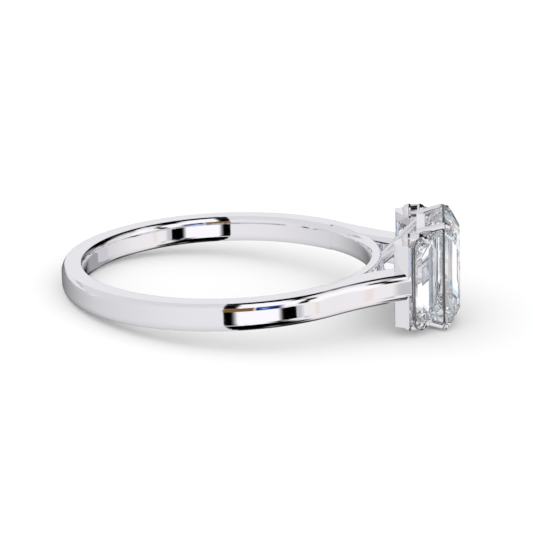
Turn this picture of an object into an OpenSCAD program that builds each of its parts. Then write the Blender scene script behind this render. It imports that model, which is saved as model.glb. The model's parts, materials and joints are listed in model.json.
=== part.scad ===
// Three-stone ring lying on its side: a cathedral shank with a step-cut centre stone
// and two tilted step-cut side stones. Millimetres, +Z up, +X towards the head.
// The ring is drawn with x from the finger to the head, y along the row of stones and
// z along the finger, then laid down on the edge of its shank and of its centre stone.

/* [Shank] */
// inner radius of the finger hole at its flat
bore_r = 8.07; // [7:0.01:11]
// thickness of the shank from its inner flat to its outer flat
shank_t = 1.31; // [1:0.01:2.5]
// width of the shank between its side faces
shank_w = 1.52; // [1.2:0.01:3]
// width of the inner and outer flats
flat_w = 0.66; // [0.4:0.01:2]
// radial depth of the round bevels beside the flats
bevel_t = 0.19; // [0.1:0.01:0.4]
// thickness of the bridge that closes the hole under the head
bridge_t = 0.83; // [0.6:0.01:1.3]

/* [Arms] */
// angle up from the row of stones at which an arm leaves the shank
arm_from = 43; // [35:1:60]
// radius of the arm's outer edge, hollow towards the outside
arm_r = 16.4; // [10:0.1:30]
// width of an arm between the edges of its side face
arm_t = 1.25; // [1:0.01:1.6]
// height of the arm's top edge above the finger's middle
arm_top = 10.4; // [10:0.1:11]

/* [Centre stone] */
// half of the width, along the row of stones
centre_y = 2.25; // [1.5:0.05:4]
// half of the length, along the finger
centre_z = 3.2; // [2:0.05:5]
// corner taken off each side at the girdle
centre_cut = 0.8; // [0.3:0.05:1.5]
// height of the middle of the girdle above the finger's middle
centre_x = 12.26; // [11:0.01:14]
// thickness of the girdle
centre_girdle = 0.12; // [0.05:0.01:0.3]
// height of the table above the girdle
centre_crown = 0.9; // [0.4:0.01:1.5]
// depth of the keel below the girdle
centre_depth = 1.85; // [1.2:0.05:3]

/* [Side stones] */
// half of the width, down the slope of the shoulder
side_w = 1.15; // [0.8:0.05:2]
// half of the length, along the finger
side_l = 2.57; // [2:0.01:4]
// corner taken off each side at the girdle
side_cut = 0.33; // [0.1:0.01:0.8]
// angle by which a side stone leans outwards
side_tilt = 28; // [10:1:45]
// distance of a side stone's middle from the centre stone's middle plane
side_y = 3.02; // [2.5:0.01:5]
// height of a side stone's girdle above the finger's middle
side_x = 11.19; // [10:0.01:12]
// thickness of the girdle
side_girdle = 0.08; // [0.05:0.01:0.3]
// height of the table above the girdle
side_crown = 0.2; // [0.1:0.01:0.6]
// depth of the keel below the girdle
side_depth = 1.68; // [0.8:0.01:2]

/* [Settings] */
// radius of the centre stone's claws where they pass its girdle
claw_r = 0.19; // [0.15:0.01:0.3]
// radius of the struts where they leave the centre setting
strut_r = 0.15; // [0.12:0.01:0.2]
// height of the centre setting's rail
rail_h = 0.5; // [0.3:0.05:1]
// thickness of the centre setting's rail
rail_t = 0.36; // [0.2:0.01:0.8]
// radius of the side stones' end claws
peg_r = 0.34; // [0.2:0.01:0.6]
// thickness of the side settings' end walls
wall_t = 0.48; // [0.3:0.01:0.8]
// half of the length of a side setting over its end walls
wall_z = 2.36; // [2:0.01:3]
// clearance between a stone and its metal seat
seat_gap = 0.03; // [0.01:0.01:0.1]

/* [Hidden] */
$fn = 64;
metal = [0.88, 0.88, 0.91];
diamond = [0.82, 0.9, 0.95];
far = 30;

// radii and half widths of the shank's section
inner_edge_r = bore_r + bevel_t;
outer_edge_r = bore_r + shank_t - bevel_t;
outer_flat_r = bore_r + shank_t;
half_flat = flat_w / 2;
half_shank = shank_w / 2;

// a round bevel: its slope beside the flat and beside the side face, and its steps
bevel_from = 3;
bevel_to = 45;
bevel_steps = 5;
// their points: [share of the depth, share of the width]
bevel_points = [
    for (i = [0 : bevel_steps]) let (turn = bevel_from + (bevel_to - bevel_from) * i / bevel_steps) [
        (cos(bevel_from) - cos(turn)) / (cos(bevel_from) - cos(bevel_to)),
        (sin(turn) - sin(bevel_from)) / (sin(bevel_to) - sin(bevel_from))]];

// how far the bridge laps into the shank, in degrees, and how much narrower it is a side
bridge_lap = 6;
bridge_inset = 0.04;

// middle of the arc that an arm follows, as [x, y]
arm_middle = (outer_edge_r + arm_r) * [sin(arm_from), cos(arm_from)];
// turn of that arc where the arm ends, measured like arm_from
arm_to = asin((arm_middle.x - arm_top) / arm_r);

// the centre setting's rail: its foot, its half width and half length, and its corners
rail_x = 10.75;
rail_y = 1.85;
rail_z = 2.46;
rail_corner = 0.2;

// a centre claw's points and radii: at the rail, past the girdle and over the crown
claw_foot = [rail_x - 0.1, 1.92, 2.46];
claw_foot_r = 0.23;
claw_bend = [centre_x + 0.04, 2.07, 2.9];
claw_tip = [centre_x + 0.19, 1.96, 2.82];
claw_tip_r = 0.16;
// how much thicker a claw is where it bends over the stone and at its ends
claw_swell = 0.015;

// a strut's two ends and its radius at the bridge
strut_top = [rail_x + 0.2, 1.5, rail_z];
strut_foot = [bore_r + bridge_t - 0.3, 0.15, 0.26];
strut_foot_r = 0.27;

// levels of a side setting, measured up from the girdle and out from the stone's middle
seat_top = -0.24;
seat_bottom = -1.43;
seat_outer = 1.4;
seat_outer_low = [1.46, -1.09];
seat_low_out = 0.88;
seat_inner = -1.05;
rail_inner = 0.35;

// a side claw's points [out, up, along], with its radii over the girdle and at its tip
peg_foot = [0.51, -0.75, 2.44];
peg_bend = [0.23, -0.2, 2.43];
peg_neck = [0.09, 0.04, 2.37];
peg_tip = [0.01, 0.2, 2.26];
peg_neck_r = 0.24;
peg_tip_r = 0.14;

// how far a side stone's ends step in below the girdle and at its keel
side_step = 0.4;
side_keel = 0.85;

// facets beside each cut corner: their turn from the sides, and how many times deeper than
// the sides they step in over and under the girdle. Kites lie on the corner's edges and
// fans are long triangles on the sides.
kite_turn = 22.5;
kite_deeper = [1.25, 1.25];
fan_turn = 9;
fan_deeper = [1.2, 1.1];

// profiles of the stones: [height over the girdle's middle, step in from the edge]
function steps(crown, girdle, depth, half) = [
    [crown, 0.42 * half],
    [0.52 * crown, 0.12 * half],
    [girdle / 2, 0],
    [-girdle / 2, 0],
    [-0.35 * depth, 0.19 * half],
    [-0.72 * depth, 0.45 * half],
    [-depth, 0.97 * half],
];
centre_steps = steps(centre_crown, centre_girdle, centre_depth, centre_y);
side_steps = steps(side_crown, side_girdle, side_depth, side_w);
// the side stones' ends: the same crown, then one facet down to the keel
side_ends = [
    for (i = [0 : 3]) side_steps[i], [-0.3 * side_depth, side_step], [-side_depth, side_keel]];

// rest: the shank's lower edge and the centre stone's girdle touch the ground
girdle_low = centre_x - centre_girdle / 2;
rest_tilt = atan((centre_z - half_shank) / (girdle_low + outer_edge_r));
rest_z = outer_edge_r * sin(rest_tilt) + half_shank * cos(rest_tilt);
table_x = centre_x + centre_crown;
table_z = centre_z - centre_steps[0][1];
front_x = table_x * cos(rest_tilt) + table_z * sin(rest_tilt);
back_x = outer_flat_r * cos(rest_tilt) + half_flat * sin(rest_tilt);

// stands a flat outline in the plane y, z and draws it out along x
module along_x(from, length)
    translate([from, 0, 0]) rotate([90, 0, 90]) linear_extrude(length) children();

// draws children in all four quarters of the head
module quarters()
    for (y = [0, 1], z = [0, 1]) mirror([0, y, 0]) mirror([0, 0, z]) children();

// draws children on both shoulders
module shoulders()
    for (y = [0, 1]) mirror([0, y, 0]) children();

// a round rod between two points, tapering from r1 to r2
module rod(from, to, r1, r2) {
    way = to - from;
    translate(from) rotate([0, acos(way.z / norm(way)), atan2(way.y, way.x)])
        cylinder(r1 = r1, r2 = r2, h = norm(way));
}

// the round end or bend of a rod
module knob(at, r)
    translate(at) sphere(r);

// section between two flats, with round bevels of bevel_t beside each
module section(inner_flat, outer_flat, half_width = half_shank) {
    bevel = [for (p = bevel_points) [bevel_t * p.x, half_flat + (half_width - half_flat) * p.y]];
    half = [
        for (p = bevel) [inner_flat + p.x, p.y],
        for (i = [bevel_steps : -1 : 0]) [outer_flat - bevel[i].x, bevel[i].y]];
    polygon([for (p = half) [p.x, -p.y], for (i = [len(half) - 1 : -1 : 0]) half[i]]);
}

module shank()
    rotate(90 - arm_from) rotate_extrude(angle = 180 + 2 * arm_from)
        section(bore_r, outer_flat_r);

// thin arc that bridges the gap under the head and laps into the shank at both ends
module bridge()
    rotate(arm_from - 90 - bridge_lap) rotate_extrude(angle = 180 - 2 * (arm_from - bridge_lap))
        section(bore_r, bore_r + bridge_t, half_shank - bridge_inset);

// one cathedral arm: an arc tangent to the shank that ends below a side stone
module arm()
    difference() {
        translate(arm_middle) rotate(270 - arm_from) rotate_extrude(angle = arm_from - arm_to)
            section(arm_r - bevel_t, arm_r + arm_t + bevel_t);
        cylinder(r = inner_edge_r + bevel_t, h = far, center = true);
    }

// rail that ties the centre stone's four claws together
module centre_rail()
    along_x(rail_x, rail_h) difference() {
        rail_outline(rail_t / 2);
        rail_outline(-rail_t / 2);
    }

// the rail's eight-sided line, moved out by grow
module rail_outline(grow) {
    y = rail_y + grow;
    z = rail_z + grow;
    cut = rail_corner + grow * (2 - sqrt(2));
    polygon([
        [y - cut, z], [cut - y, z], [-y, z - cut], [-y, cut - z],
        [cut - y, -z], [y - cut, -z], [y, cut - z], [y, z - cut]
    ]);
}

// one claw of the centre stone, from the rail past the girdle and over the corner
module centre_claw() {
    intersection() {
        rod(claw_foot, claw_bend, claw_foot_r, claw_r);
        along_x(rail_x, far) square(far, center = true);
    }
    knob(claw_bend, claw_r + claw_swell);
    rod(claw_bend, claw_tip, claw_r, claw_tip_r);
    knob(claw_tip, claw_tip_r + claw_swell);
}

module strut()
    rod(strut_top, strut_foot, strut_r, strut_foot_r);

// a point of a side setting: out along the stone's slope, up from its girdle, along z
function on_slope(out, up) = [
    side_x - out * sin(side_tilt) + up * cos(side_tilt),
    side_y + out * cos(side_tilt) + up * sin(side_tilt)
];
function on_slope3(p) = [each on_slope(p.x, p.y), p.z];

// end walls of a side setting, up to the arms' side, and the outer rail between them
module side_setting() {
    low_outer = on_slope(seat_outer_low.x, seat_outer_low.y);
    low_inner = on_slope(seat_low_out, seat_bottom);
    for (z = [-wall_z, wall_z - wall_t])
        translate([0, 0, z]) linear_extrude(wall_t) polygon([
            on_slope(seat_outer, seat_top), low_outer, low_inner,
            on_slope(seat_inner, seat_bottom), on_slope(seat_inner, seat_top)]);
    translate([0, 0, -wall_z]) linear_extrude(2 * wall_z) polygon([
        on_slope(seat_outer, seat_top), low_outer, low_inner, on_slope(rail_inner, seat_top)]);
}

// one end claw of a side stone: an upright peg on the end wall that tapers over the crown
module side_claw() {
    foot = on_slope3(peg_foot);
    bend = on_slope3(peg_bend);
    neck = on_slope3(peg_neck);
    tip = on_slope3(peg_tip);
    knob(foot, peg_r + claw_swell);
    rod(foot, bend, peg_r, peg_r);
    knob(bend, peg_r + claw_swell);
    rod(bend, neck, peg_r, peg_neck_r);
    knob(neck, peg_neck_r + claw_swell);
    rod(neck, tip, peg_neck_r, peg_tip_r);
    knob(tip, peg_tip_r + claw_swell);
}

// two opposite walls of facets, half apart at the girdle and turned about x from the long
// sides; levels are [height, step in], and grow moves every facet outwards
module walls(turn, half, levels, grow) {
    edge = [for (p = levels) [p.x + grow * sign(p.x), half - p.y + grow]];
    rotate([turn, 0, 0]) linear_extrude(far, center = true)
        polygon([each edge, for (i = [len(edge) - 1 : -1 : 0]) [edge[i].x, -edge[i].y]]);
}

// a step-cut stone with its girdle in the plane y, z, its table towards +x and its
// corners cut off
module cut_stone(half_y, half_z, cut, sides, ends, grow) {
    diagonal = (half_y + half_z - cut) / sqrt(2);
    intersection() {
        walls(0, half_y, sides, grow);
        walls(90, half_z, ends, grow);
        walls(45, diagonal, sides, grow);
        walls(-45, diagonal, sides, grow);
    }
}

// four walls of facets that are turned by turn from the sides and ends and meet the girdle
// at its corners only
module slanted_walls(turn, half_y, half_z, cut, sides, deeper, grow) {
    side = half_y * cos(turn) + (half_z - cut) * sin(turn);
    end = half_z * cos(turn) + (half_y - cut) * sin(turn);
    levels = [for (p = sides) [p.x, p.y * (p.x > 0 ? deeper[0] : deeper[1])]];
    intersection() {
        walls(turn, side, levels, grow);
        walls(-turn, side, levels, grow);
        walls(90 - turn, end, levels, grow);
        walls(turn - 90, end, levels, grow);
    }
}

// the centre stone, with kites at its corners and fans along its sides
module centre_gem(grow = 0)
    translate([centre_x, 0, 0]) intersection() {
        cut_stone(centre_y, centre_z, centre_cut, centre_steps, centre_steps, grow);
        slanted_walls(kite_turn, centre_y, centre_z, centre_cut, centre_steps, kite_deeper, grow);
        slanted_walls(fan_turn, centre_y, centre_z, centre_cut, centre_steps, fan_deeper, grow);
    }

module side_gem(grow = 0)
    translate([side_x, side_y, 0]) rotate(side_tilt) intersection() {
        cut_stone(side_w, side_l, side_cut, side_steps, side_ends, grow);
        slanted_walls(kite_turn, side_w, side_l, side_cut, side_steps, kite_deeper, grow);
    }

// lays the upright ring on its side, with its box's middle over the origin
module lay_down()
    translate([(back_x - front_x) / 2, 0, rest_z]) rotate([0, -rest_tilt, 0]) children();

module ring_mount()
    color(metal) lay_down() difference() {
        union() {
            union() {
                shank();
                shoulders() arm();
            }
            bridge();
            shoulders() side_setting();
            centre_rail();
            quarters() centre_claw();
            quarters() strut();
            quarters() side_claw();
        }
        centre_gem(seat_gap);
        shoulders() side_gem(seat_gap);
    }

module centre_stone()
    color(diamond) lay_down() centre_gem();

module side_stone_back()
    color(diamond) lay_down() side_gem();

module side_stone_front()
    color(diamond) lay_down() mirror([0, 1, 0]) side_gem();

ring_mount();
centre_stone();
side_stone_front();
side_stone_back();
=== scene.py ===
"""Looks for a three-stone ring that lies on its side: polished white gold, cut diamonds and
a pale studio. Metres, +Z up, +X towards the stones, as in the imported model."""

import json
import math

import bpy
from bpy.props import FloatProperty, FloatVectorProperty, PointerProperty
from mathutils import Matrix, Vector

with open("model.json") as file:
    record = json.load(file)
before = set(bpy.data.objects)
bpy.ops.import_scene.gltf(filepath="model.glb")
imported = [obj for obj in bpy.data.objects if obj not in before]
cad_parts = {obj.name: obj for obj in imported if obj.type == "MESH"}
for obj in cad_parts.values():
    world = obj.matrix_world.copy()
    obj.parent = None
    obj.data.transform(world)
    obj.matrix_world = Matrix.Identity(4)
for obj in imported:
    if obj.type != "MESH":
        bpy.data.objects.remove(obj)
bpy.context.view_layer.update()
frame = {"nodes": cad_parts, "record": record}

bl_info = {
    "name": "Three-Stone Ring",
    "version": (1, 0, 0),
    "blender": (4, 5, 0),
    "location": "3D View > Sidebar > Ring",
    "description": "Polishes a white gold ring with three diamonds and sets it on a pale table",
    "category": "Object",
}

MM = 0.001
# the finger's direction, and the directions from the finger to the stones and to the front
ALONG = Vector(frame["record"]["mounts"][0]["axis"]).normalized()
HEADWARD = Vector((ALONG.z, 0.0, -ALONG.x))
TOWARDS = Vector((0.0, -1.0, 0.0))

# The room that the ring mirrors has cards at heights and bearings, in degrees. A height is 0
# beside the finger, 90 past the stones and -90 past the back of the shank. A bearing is 0 in
# front, 90 over the ring, 180 behind and -90 under it. A card fades in between the first two of
# its four angles and out between the last two.
EVERYWHERE = (-200.0, -190.0, 190.0, 200.0)
STONES_HALF = (1.2, 1.8, 190.0, 200.0)
# colour, heights and bearings of each card, which covers the ones before it
CARDS = (
    # light floor above and behind, and the part of it that the side faces mirror
    ((0.76, 0.76, 0.76), (-95.0, -94.0, 1.2, 1.8), (30.0, 50.0, 140.0, 150.0)),
    ((0.86, 0.86, 0.87), (-95.0, -94.0, 1.2, 1.8), (148.0, 156.0, 170.0, 180.0)),
    # dark line all around the horizon, and the dark room over, behind and under the side faces
    ((0.0, 0.0, 0.0), (1.2, 1.8, 6.5, 11.5), EVERYWHERE),
    ((0.0, 0.0, 0.0), (1.2, 1.8, 42.0, 50.0), (54.0, 60.0, 92.0, 100.0)),
    ((0.0, 0.0, 0.0), (1.2, 1.8, 52.0, 62.0), (92.0, 100.0, 160.0, 172.0)),
    ((0.0, 0.0, 0.0), (1.2, 1.8, 34.0, 42.0), (-92.0, -86.0, -34.0, -33.0)),
    ((0.03, 0.03, 0.03), (1.2, 1.8, 24.0, 30.0), (-150.0, -140.0, -92.0, -86.0)),
    # soft box in front of the ring, and the ones above and below it
    ((1.07, 1.07, 1.08), (9.0, 11.5, 36.5, 38.0), (-34.0, -33.0, -10.0, -7.0)),
    ((1.07, 1.07, 1.08), (1.2, 1.8, 49.0, 52.0), (4.0, 10.0, 54.0, 60.0)),
    ((1.07, 1.07, 1.08), (1.2, 1.8, 24.0, 36.0), (-47.0, -45.0, -34.0, -33.0)),
    # brown and blue cards over the front soft box, and the dark corner above them
    ((0.0, 0.0, 0.0), (1.2, 1.8, 8.5, 12.0), (17.0, 22.0, 54.0, 60.0)),
    ((0.2, 0.12, 0.04), (1.2, 1.8, 21.0, 23.0), (-8.0, -6.0, 17.0, 22.0)),
    ((0.01, 0.03, 0.2), (22.0, 24.0, 38.0, 44.0), (-8.0, -6.0, 17.0, 22.0)),
    ((0.4, 0.65, 1.0), (25.0, 29.0, 30.0, 34.0), (-6.0, 2.0, 8.0, 16.0)),
    # dark bar between the soft boxes and the stones' end, with a grey edge and a faint warm one.
    # Over the ring it lies higher, with white past it.
    ((0.0, 0.0, 0.0), (36.5, 40.3, 48.8, 49.2), (-45.0, -40.0, -14.0, -10.0)),
    ((0.6, 0.6, 0.62), (48.8, 49.2, 51.0, 55.0), (-60.0, -50.0, -14.0, -10.0)),
    ((0.0, 0.0, 0.0), (51.0, 54.5, 58.5, 61.0), (-8.0, 4.0, 50.0, 56.0)),
    ((1.07, 1.07, 1.07), (60.5, 63.0, 190.0, 200.0), (-22.0, -14.0, 75.0, 85.0)),
    ((0.92, 0.84, 0.78), (60.5, 61.5, 62.5, 65.0), (-60.0, -50.0, -14.0, -10.0)),
    # two grey screens behind
    ((0.38, 0.375, 0.4), (12.0, 24.0, 39.5, 40.5), (-178.0, -172.0, -140.0, -130.0)),
    ((0.65, 0.64, 0.67), (39.5, 40.5, 54.5, 55.5), (-178.0, -172.0, -140.0, -130.0)),
)
# colours of the shank's half and of the stones' half of the room, from the front to the back
SHANK_ROOM = (
    (0.0, (0.88, 0.88, 0.88)),
    (0.26, (0.79, 0.79, 0.79)),
    (0.58, (0.69, 0.69, 0.69)),
    (0.74, (0.53, 0.53, 0.53)),
    (0.86, (0.38, 0.38, 0.38)),
    (0.955, (0.2, 0.2, 0.2)),
    (1.0, (0.12, 0.12, 0.12)),
)
STONES_ROOM = (
    (0.0, (0.98, 0.96, 0.94)),
    (0.5, (0.92, 0.9, 0.89)),
    (0.74, (0.73, 0.73, 0.73)),
    (0.82, (0.62, 0.62, 0.62)),
    (0.93, (0.31, 0.31, 0.31)),
    (1.0, (0.05, 0.05, 0.05)),
)
# Panels that the stones refract: how fine they are, and where each colour's share starts. Light
# goes back and forth many times inside a stone before it leaves.
PANEL_SCALE = 4.4
PANELS = (
    (0.0, (0.02, 0.025, 0.04)),
    (0.14, (0.3, 0.35, 0.4)),
    (0.3, (0.7, 0.72, 0.76)),
    (0.48, (1.0, 1.0, 1.02)),
    (0.72, (1.3, 1.3, 1.3)),
    (0.86, (0.72, 0.98, 1.15)),
    (0.94, (1.3, 1.08, 0.84)),
)
STONE_BOUNCES = 24
# how far each stone leans from the ring's middle, and how little its girdle's faces slope
LEANS = {
    "centre_stone": 0.0,
    "side_stone_front": math.radians(-28.0),
    "side_stone_back": math.radians(28.0),
}
GIRDLE_SLOPE = 0.1
# the metal's haze: how fine it is, its range, and how far it changes the roughness
HAZE_SCALE = 900.0
HAZE_RANGE = (0.3, 0.75)
HAZE_SHARES = (0.6, 1.8)
EDGE_SAMPLES = 6
# how fine the stones' faint cloud is
CLOUD_SCALE = 600.0
TABLE_ROUGHNESS = 0.5
# in millimetres, and the nearest and farthest that the camera sees, in metres
SENSOR_WIDTH = 36.0
CAMERA_REACH = (0.001, 10.0)


class WhiteGoldSizes(bpy.types.PropertyGroup):
    """Colour and polish of the metal."""

    colour: FloatVectorProperty(
        name="Colour",
        description="Colour that the polished metal gives its reflections",
        subtype="COLOR",
        size=3,
        min=0.0,
        max=1.0,
        default=(0.9, 0.885, 0.925),
    )
    roughness: FloatProperty(
        name="Roughness",
        description="Roughness of the freshly polished faces",
        default=0.035,
        min=0.0,
        max=1.0,
    )
    edge: FloatProperty(
        name="Edge",
        description="Radius to which the polishing wheel rounds the edges",
        default=0.05 * MM,
        min=0.0,
        unit="LENGTH",
    )


class DiamondSizes(bpy.types.PropertyGroup):
    """Colour and sparkle of the stones."""

    colour: FloatVectorProperty(
        name="Colour",
        description="Faint body colour of the stones",
        subtype="COLOR",
        size=3,
        min=0.0,
        max=1.0,
        default=(0.98, 0.99, 1.0),
    )
    ior: FloatProperty(
        name="Refraction",
        description="How strongly the stones bend light",
        default=2.417,
        min=1.0,
        max=3.0,
    )
    # painted shade: the girdle is coloured black by default, a dark band that stands in for the
    # shade round the girdle and between the stones
    girdle_shade_colour: FloatVectorProperty(
        name="Girdle colour",
        description="Colour of the ground edge round each stone",
        subtype="COLOR",
        size=3,
        min=0.0,
        max=1.0,
        default=(0.0, 0.0, 0.0),
    )
    girdle_roughness: FloatProperty(
        name="Girdle roughness",
        description="Roughness of the ground edge round each stone",
        default=0.3,
        min=0.0,
        max=1.0,
    )


class StudioSizes(bpy.types.PropertyGroup):
    """The table, its light and the camera."""

    table_colour: FloatVectorProperty(
        name="Table colour",
        description="Colour of the table top",
        subtype="COLOR",
        size=3,
        min=0.0,
        max=1.0,
        default=(0.9, 0.9, 0.9),
    )
    table_size: FloatProperty(
        name="Table size",
        description="Width of the table top",
        default=3.0,
        min=0.1,
        unit="LENGTH",
    )
    light: FloatProperty(
        name="Light",
        description="Strength of the plain white light on the table",
        default=1.2,
        min=0.0,
    )
    camera_at: FloatVectorProperty(
        name="Camera place",
        description="Where the camera stands",
        subtype="TRANSLATION",
        size=3,
        default=(5.2631 * MM, -119.3675 * MM, 38.6538 * MM),
    )
    camera_aim: FloatVectorProperty(
        name="Camera aim",
        description="Point at the middle of the picture",
        subtype="TRANSLATION",
        size=3,
        default=(0.242 * MM, -0.298 * MM, 2.193 * MM),
    )
    camera_roll: FloatProperty(
        name="Camera roll",
        description="Turn of the camera about its own axis",
        default=math.radians(4.9859),
        subtype="ANGLE",
    )
    lens: FloatProperty(
        name="Lens",
        description="Focal length on a 36 mm sensor, in millimetres",
        default=148.7,
        min=1.0,
    )


def node(tree, kind, inputs=None, **settings):
    """Adds a shader node, with its inputs and settings."""
    made = tree.nodes.new(kind)
    for key, value in settings.items():
        setattr(made, key, value)
    for key, value in (inputs or {}).items():
        if isinstance(value, bpy.types.NodeSocket):
            tree.links.new(value, made.inputs[key])
        else:
            made.inputs[key].default_value = value
    return made


def mixed(tree, factor, first, second):
    """The first colour, or the second where the factor is 1."""
    made = node(
        tree,
        "ShaderNodeMix",
        {"Factor": factor, "A": first, "B": second},
        data_type="RGBA",
    )
    return made.outputs["Result"]


def along(tree, direction, axis):
    """How far a direction points along an axis."""
    made = node(
        tree, "ShaderNodeVectorMath", {0: direction, 1: axis}, operation="DOT_PRODUCT"
    )
    return made.outputs["Value"]


def degrees(tree, kind, *values):
    """The angle that a math node of some kind gives, in degrees."""
    angle = node(tree, "ShaderNodeMath", dict(enumerate(values)), operation=kind)
    made = node(tree, "ShaderNodeMath", {0: angle.outputs["Value"]}, operation="DEGREES")
    return made.outputs["Value"]


def between(tree, value, angles):
    """1 between the middle two of four angles, fading to 0 at the outer two."""
    fades = [
        node(
            tree,
            "ShaderNodeMapRange",
            {"Value": value, "From Min": empty, "From Max": full},
            interpolation_type="SMOOTHSTEP",
        ).outputs["Result"]
        for empty, full in ((angles[0], angles[1]), (angles[3], angles[2]))
    ]
    made = node(tree, "ShaderNodeMath", dict(enumerate(fades)), operation="MULTIPLY")
    return made.outputs["Value"]


def ramp(tree, value, stops, steps="LINEAR"):
    """A colour that follows a value through stops of place and colour."""
    made = node(tree, "ShaderNodeValToRGB", {"Fac": value})
    band = made.color_ramp
    band.interpolation = steps
    for place, _ in stops[1:-1]:
        band.elements.new(place)
    for element, (place, colour) in zip(band.elements, stops):
        element.position = place
        element.color = (*colour, 1.0)
    return made.outputs["Color"]


def cards(tree):
    """The room that the ring mirrors."""
    way = node(tree, "ShaderNodeTexCoord").outputs["Generated"]
    up = along(tree, way, HEADWARD)
    front = along(tree, way, TOWARDS)
    height = degrees(tree, "ARCSINE", up)
    bearing = degrees(tree, "ARCTAN2", along(tree, way, ALONG), front)
    depth = node(
        tree, "ShaderNodeMapRange", {"Value": front, "From Min": 1.0, "From Max": -1.0}
    ).outputs["Result"]
    room = mixed(
        tree,
        between(tree, height, STONES_HALF),
        ramp(tree, depth, SHANK_ROOM),
        ramp(tree, depth, STONES_ROOM),
    )
    for colour, heights, bearings in CARDS:
        cover = node(
            tree,
            "ShaderNodeMath",
            {0: between(tree, height, heights), 1: between(tree, bearing, bearings)},
            operation="MULTIPLY",
        )
        room = mixed(tree, cover.outputs["Value"], room, (*colour, 1.0))
    return room


def panels(tree):
    """White, grey and faintly coloured panels all round, which make the stones sparkle."""
    way = node(tree, "ShaderNodeTexCoord").outputs["Generated"]
    panel = node(tree, "ShaderNodeTexVoronoi", {"Vector": way, "Scale": PANEL_SCALE})
    share = node(tree, "ShaderNodeSeparateColor", {"Color": panel.outputs["Color"]})
    return ramp(tree, share.outputs["Red"], PANELS, "CONSTANT")


def new_material(name):
    """An empty node material, and its tree and output."""
    material = bpy.data.materials.new(name)
    material.use_nodes = True
    tree = material.node_tree
    tree.nodes.clear()
    return material, tree, tree.nodes.new("ShaderNodeOutputMaterial")


def finish_with(piece, material):
    """Puts one material in every slot of a piece."""
    for slot in piece.material_slots:
        slot.link = "DATA"
        slot.material = material


class RING_OT_white_gold(bpy.types.Operator):
    """Polish the white gold mount"""

    bl_idname = "ring.white_gold"
    bl_label = "Polish the mount"

    def execute(self, context):
        sizes = context.scene.white_gold
        material, tree, output = new_material("white_gold_polished")
        place = node(tree, "ShaderNodeTexCoord").outputs["Object"]
        haze = node(
            tree,
            "ShaderNodeTexNoise",
            {"Vector": place, "Scale": HAZE_SCALE, "Detail": 4.0, "Roughness": 0.6},
        )
        polish = node(
            tree,
            "ShaderNodeMapRange",
            {
                "Value": haze.outputs["Fac"],
                "From Min": HAZE_RANGE[0],
                "From Max": HAZE_RANGE[1],
                "To Min": HAZE_SHARES[0] * sizes.roughness,
                "To Max": HAZE_SHARES[1] * sizes.roughness,
            },
        )
        edges = node(tree, "ShaderNodeBevel", {"Radius": sizes.edge}, samples=EDGE_SAMPLES)
        metal = node(
            tree,
            "ShaderNodeBsdfPrincipled",
            {
                "Base Color": (*sizes.colour, 1.0),
                "Metallic": 1.0,
                "Roughness": polish.outputs["Result"],
                "Normal": edges.outputs["Normal"],
            },
        )
        tree.links.new(metal.outputs["BSDF"], output.inputs["Surface"])
        finish_with(frame["nodes"]["ring_mount"], material)
        return {"FINISHED"}


class RING_OT_diamonds(bpy.types.Operator):
    """Polish the three diamonds"""

    bl_idname = "ring.diamonds"
    bl_label = "Polish the stones"

    def execute(self, context):
        sizes = context.scene.diamonds
        for name, lean in LEANS.items():
            finish_with(frame["nodes"][name], self.polished(name, lean, sizes))
        return {"FINISHED"}

    def polished(self, name, lean, sizes):
        """Clear facets, with the girdle ground dull and painted shade on it: its faces are
        coloured black.
        """
        material, tree, output = new_material(name + "_diamond")
        axis = Matrix.Rotation(lean, 3, ALONG) @ HEADWARD
        place = node(tree, "ShaderNodeTexCoord")
        cloud = node(
            tree,
            "ShaderNodeTexNoise",
            {"Vector": place.outputs["Object"], "Scale": CLOUD_SCALE, "Detail": 2.0},
        )
        clear = mixed(
            tree, cloud.outputs["Fac"], (*sizes.colour, 1.0), (1.0, 1.0, 1.0, 1.0)
        )
        # the girdle's faces, which get both the real dull ground finish and the painted shade
        slope = along(tree, place.outputs["Normal"], axis)
        ground = node(
            tree,
            "ShaderNodeMath",
            {0: slope, 1: 0.0, 2: GIRDLE_SLOPE},
            operation="COMPARE",
        ).outputs["Value"]
        dull = node(
            tree, "ShaderNodeMapRange", {"Value": ground, "To Max": sizes.girdle_roughness}
        )
        # painted shade: on the girdle's faces the base colour turns black, so they let no light
        # through; their roughness is the real ground finish
        stone = node(
            tree,
            "ShaderNodeBsdfPrincipled",
            {
                "Base Color": mixed(tree, ground, clear, (*sizes.girdle_shade_colour, 1.0)),
                "Roughness": dull.outputs["Result"],
                "IOR": sizes.ior,
                "Transmission Weight": 1.0,
            },
        )
        tree.links.new(stone.outputs["BSDF"], output.inputs["Surface"])
        return material


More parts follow.
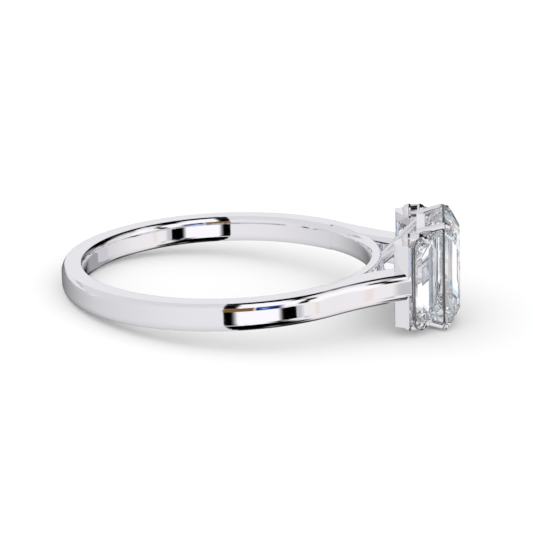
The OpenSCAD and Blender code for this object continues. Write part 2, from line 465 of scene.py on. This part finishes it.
class RING_OT_studio(bpy.types.Operator):
    """Set the table, the light and the camera"""

    bl_idname = "ring.studio"
    bl_label = "Set up the studio"

    def execute(self, context):
        sizes = context.scene.studio
        self.table(sizes)
        self.sky(context, sizes)
        self.camera(context, sizes)
        return {"FINISHED"}

    def table(self, sizes):
        """The pale table top."""
        bpy.ops.object.select_all(action="DESELECT")
        bpy.ops.mesh.primitive_plane_add(size=sizes.table_size, location=(0, 0, 0))
        top = bpy.context.object
        top.name = "table_top"
        material, tree, output = new_material("table_white")
        surface = node(
            tree,
            "ShaderNodeBsdfDiffuse",
            {"Color": (*sizes.table_colour, 1.0), "Roughness": TABLE_ROUGHNESS},
        )
        tree.links.new(surface.outputs["BSDF"], output.inputs["Surface"])
        top.data.materials.append(material)
        top.visible_glossy = False
        top.visible_transmission = False

    def mirrored_or_white(self, tree, strength):
        """The cards where a piece mirrors the room, the panels where a stone refracts it, and
        plain white light for the table."""
        path = node(tree, "ShaderNodeLightPath")
        plain = (strength, strength, strength, 1.0)
        mirrored = mixed(tree, path.outputs["Is Glossy Ray"], plain, cards(tree))
        return mixed(tree, path.outputs["Is Transmission Ray"], mirrored, panels(tree))

    def sky(self, context, sizes):
        """The white room."""
        world = bpy.data.worlds.new("white_room")
        context.scene.world = world
        world.use_nodes = True
        tree = world.node_tree
        tree.nodes.clear()
        light = node(
            tree,
            "ShaderNodeBackground",
            {"Color": self.mirrored_or_white(tree, sizes.light), "Strength": 1.0},
        )
        output = tree.nodes.new("ShaderNodeOutputWorld")
        tree.links.new(light.outputs["Background"], output.inputs["Surface"])
        context.scene.view_settings.view_transform = "Standard"
        for kind in ("max_bounces", "glossy_bounces", "transmission_bounces"):
            setattr(context.scene.cycles, kind, STONE_BOUNCES)

    def camera(self, context, sizes):
        """The camera at the photograph's angle to the ring."""
        data = bpy.data.cameras.new("camera")
        data.sensor_width = SENSOR_WIDTH
        data.lens = sizes.lens
        data.clip_start, data.clip_end = CAMERA_REACH
        camera = bpy.data.objects.new("camera", data)
        context.scene.collection.objects.link(camera)
        at, aim = Vector(sizes.camera_at), Vector(sizes.camera_aim)
        turn = (aim - at).to_track_quat("-Z", "Y").to_matrix().to_4x4()
        turn = turn @ Matrix.Rotation(sizes.camera_roll, 4, "Z")
        camera.matrix_world = Matrix.Translation(at) @ turn
        context.scene.camera = camera


class RING_PT_panel(bpy.types.Panel):
    """Lists the ring's sizes and steps"""

    bl_idname = "RING_PT_panel"
    bl_label = "Three-Stone Ring"
    bl_space_type = "VIEW_3D"
    bl_region_type = "UI"
    bl_category = "Ring"

    def draw(self, context):
        for group, step in STEPS:
            box = self.layout.box()
            settings = getattr(context.scene, group)
            for name in settings.__annotations__:
                box.prop(settings, name)
            box.operator(step)


STEPS = (
    ("white_gold", "ring.white_gold"),
    ("diamonds", "ring.diamonds"),
    ("studio", "ring.studio"),
)
GROUPS = {"white_gold": WhiteGoldSizes, "diamonds": DiamondSizes, "studio": StudioSizes}
CLASSES = (
    *GROUPS.values(),
    RING_OT_white_gold,
    RING_OT_diamonds,
    RING_OT_studio,
    RING_PT_panel,
)


def register():
    for cls in CLASSES:
        bpy.utils.register_class(cls)
    for name, group in GROUPS.items():
        setattr(bpy.types.Scene, name, PointerProperty(type=group))


def unregister():
    for name in GROUPS:
        delattr(bpy.types.Scene, name)
    for cls in reversed(CLASSES):
        bpy.utils.unregister_class(cls)


def main():
    register()
    bpy.ops.ring.white_gold()
    bpy.ops.ring.diamonds()
    bpy.ops.ring.studio()


if __name__ == "__main__":
    main()
